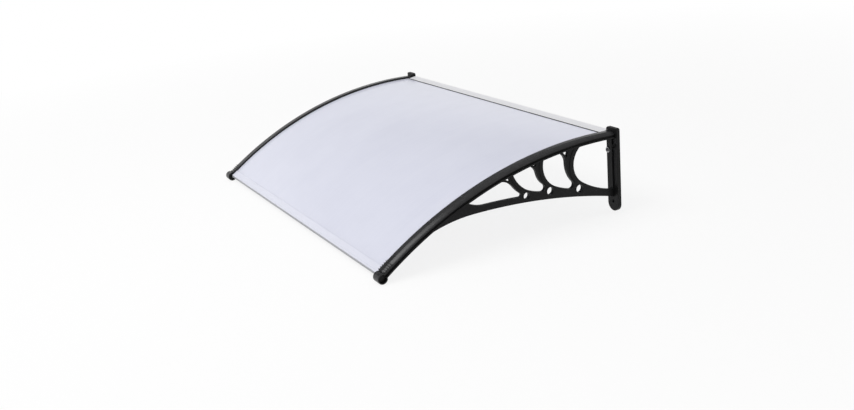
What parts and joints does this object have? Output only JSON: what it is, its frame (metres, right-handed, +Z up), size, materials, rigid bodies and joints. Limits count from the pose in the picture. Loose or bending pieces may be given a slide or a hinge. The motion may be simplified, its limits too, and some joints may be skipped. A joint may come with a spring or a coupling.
{
  "type": "door canopy",
  "caption": "Curved milky polycarbonate door canopy on moulded brackets with crescent webs, cover strips and aluminium edge bars.",
  "frame": {"origin": "middle of the width, on the wall plane, at the top of the wall plates", "axes": "+X along the width, +Y into the wall, +Z up, the canopy reaches towards -Y"},
  "size_m": [1.2354, 0.7869, 0.2538],
  "materials": {
    "bracket_black": "satin moulded black, fine grain",
    "strip_black": "satin moulded black",
    "sheet_opal": "smooth milky polycarbonate",
    "bar_aluminium": "extruded, satin anodised",
    "seal_rubber": "matt black",
    "plug_grey": "matt grey",
    "screw_steel": "zinc plated",
    "washer_steel": "stainless"
  },
  "bodies": {
    "root": {"bracket_left": "bracket_black", "bracket_right": "bracket_black", "cover_strip_left": "strip_black", "cover_strip_right": "strip_black", "panel": "sheet_opal", "front_bar": "bar_aluminium", "rear_bar": "bar_aluminium", "upper_seal_left": "seal_rubber", "upper_seal_right": "seal_rubber", "lower_seal_left": "seal_rubber", "lower_seal_right": "seal_rubber", "rear_wiper": "seal_rubber", "rear_plug_left": "plug_grey", "rear_plug_right": "plug_grey", "lug_screw_left": "screw_steel", "lug_screw_right": "screw_steel", "strip_screw_left_1": "screw_steel", "strip_screw_left_2": "screw_steel", "strip_screw_left_3": "screw_steel", "strip_screw_right_1": "screw_steel", "strip_screw_right_2": "screw_steel", "strip_screw_right_3": "screw_steel", "lug_washer_left": "washer_steel", "lug_washer_right": "washer_steel"}
  },
  "joints": []
}
